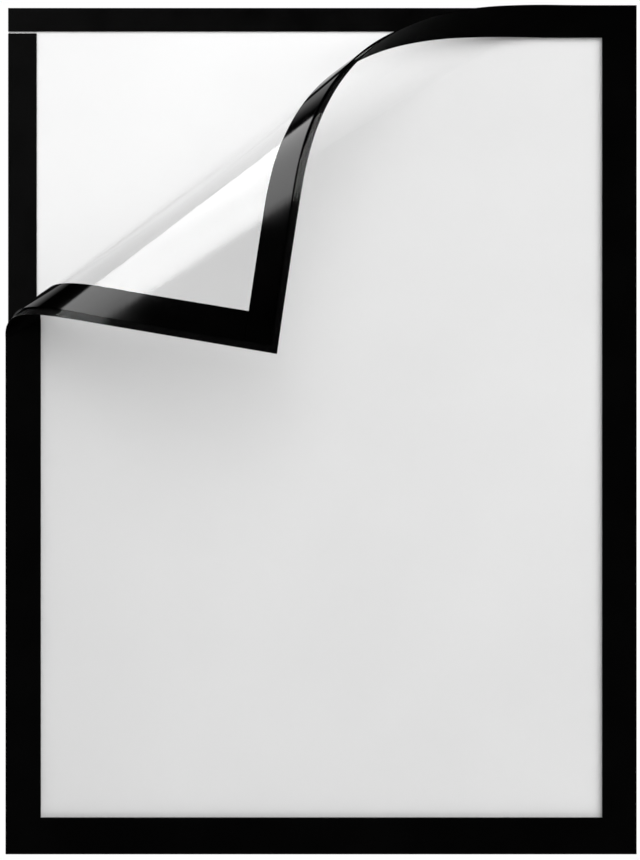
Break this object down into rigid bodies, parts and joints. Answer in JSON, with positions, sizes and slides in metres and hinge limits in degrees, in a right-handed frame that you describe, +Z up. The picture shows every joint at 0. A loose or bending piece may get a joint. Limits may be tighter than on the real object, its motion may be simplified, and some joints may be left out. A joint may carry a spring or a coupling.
{
  "type": "magnetic picture frame",
  "caption": "Flat self-adhesive display frame: magnetic black-bordered clear cover over a white card, upper left corner peeled over, hinged at the right.",
  "frame": {"origin": "centre of the adhesive back face, where it meets the wall", "axes": "+Z up along the long side, +Y into the wall, the front faces -Y, +X to the right seen from the front"},
  "size_m": [0.2362, 0.062, 0.3176],
  "materials": {
    "adhesive": "milky clear pressure-sensitive adhesive film",
    "backing": "white calendered sheet",
    "rear_magnet": "satin black flexible magnet strip",
    "card": "smooth white card",
    "hinge": "black film tape",
    "border": "black semi-gloss skin",
    "film": "clear film, slightly grey",
    "cover_magnet": "glossy black flexible magnet strip"
  },
  "bodies": {
    "back_panel": {"adhesive_film": "adhesive", "backing_sheet": "backing", "rear_strip_top": "rear_magnet", "rear_strip_bottom": "rear_magnet", "rear_strip_left": "rear_magnet", "rear_strip_right": "rear_magnet", "insert_card": "card", "hinge_tape": "hinge"},
    "cover": {"cover_border": "border", "window_film": "film", "magnet_top": "cover_magnet", "magnet_bottom": "cover_magnet", "magnet_left": "cover_magnet", "magnet_right": "cover_magnet"},
    "curl_1": {"curl_border_1": "border", "curl_film_1": "film", "curl_magnets_1": "cover_magnet"},
    "curl_2": {"curl_border_2": "border", "curl_film_2": "film", "curl_magnets_2": "cover_magnet"},
    "curl_3": {"curl_border_3": "border", "curl_film_3": "film", "curl_magnets_3": "cover_magnet"},
    "curl_4": {"curl_border_4": "border", "curl_film_4": "film", "curl_magnets_4": "cover_magnet"},
    "curl_5": {"curl_border_5": "border", "curl_film_5": "film", "curl_magnets_5": "cover_magnet"},
    "curl_6": {"curl_border_6": "border", "curl_film_6": "film", "curl_magnets_6": "cover_magnet"},
    "curl_7": {"curl_border_7": "border", "curl_film_7": "film", "curl_magnets_7": "cover_magnet"},
    "corner_flap": {"corner_border": "border", "corner_film": "film", "corner_magnets": "cover_magnet"}
  },
  "joints": [
    {"name": "cover_open", "type": "hinge", "parent": "back_panel", "child": "cover", "pos_m": [0.118, -0.0022, 0], "axis": [0, 0, 1], "range_deg": [0, 170]},
    {"name": "corner_peel_1", "type": "hinge", "parent": "cover", "child": "curl_1", "pos_m": [-0.01058, -0.00275, 0.09633], "axis": [0.8646, 0, 0.5025], "range_deg": [-21.3, 0]},
    {"name": "corner_peel_2", "type": "hinge", "parent": "curl_1", "child": "curl_2", "pos_m": [-0.01984, -0.00459, 0.0964], "axis": [0.8462, -0.0138, 0.5328], "range_deg": [-21.3, 0]},
    {"name": "corner_peel_3", "type": "hinge", "parent": "curl_2", "child": "curl_3", "pos_m": [-0.0299, -0.00903, 0.09593], "axis": [0.8265, -0.0455, 0.5612], "range_deg": [-21.3, 0]},
    {"name": "corner_peel_4", "type": "hinge", "parent": "curl_3", "child": "curl_4", "pos_m": [-0.03934, -0.01611, 0.09397], "axis": [0.8098, -0.0944, 0.579], "range_deg": [-21.3, 0]},
    {"name": "corner_peel_5", "type": "hinge", "parent": "curl_4", "child": "curl_5", "pos_m": [-0.04675, -0.02502, 0.08971], "axis": [0.8007, -0.1542, 0.5789], "range_deg": [-21.3, 0]},
    {"name": "corner_peel_6", "type": "hinge", "parent": "curl_5", "child": "curl_6", "pos_m": [-0.05099, -0.03426, 0.08294], "axis": [0.8019, -0.2132, 0.5581], "range_deg": [-21.3, 0]},
    {"name": "corner_peel_7", "type": "hinge", "parent": "curl_6", "child": "curl_7", "pos_m": [-0.05143, -0.0421, 0.07434], "axis": [0.8127, -0.257, 0.523], "range_deg": [-21.3, 0]},
    {"name": "corner_peel_8", "type": "hinge", "parent": "curl_7", "child": "corner_flap", "pos_m": [-0.04802, -0.04726, 0.0654], "axis": [0.8252, -0.2747, 0.4935], "range_deg": [-21.3, 0]}
  ],
  "couplings": [
    {"joint": "corner_peel_1", "follows": "corner_peel_8", "ratio": 1},
    {"joint": "corner_peel_2", "follows": "corner_peel_8", "ratio": 1},
    {"joint": "corner_peel_3", "follows": "corner_peel_8", "ratio": 1},
    {"joint": "corner_peel_4", "follows": "corner_peel_8", "ratio": 1},
    {"joint": "corner_peel_5", "follows": "corner_peel_8", "ratio": 1},
    {"joint": "corner_peel_6", "follows": "corner_peel_8", "ratio": 1},
    {"joint": "corner_peel_7", "follows": "corner_peel_8", "ratio": 1}
  ]
}
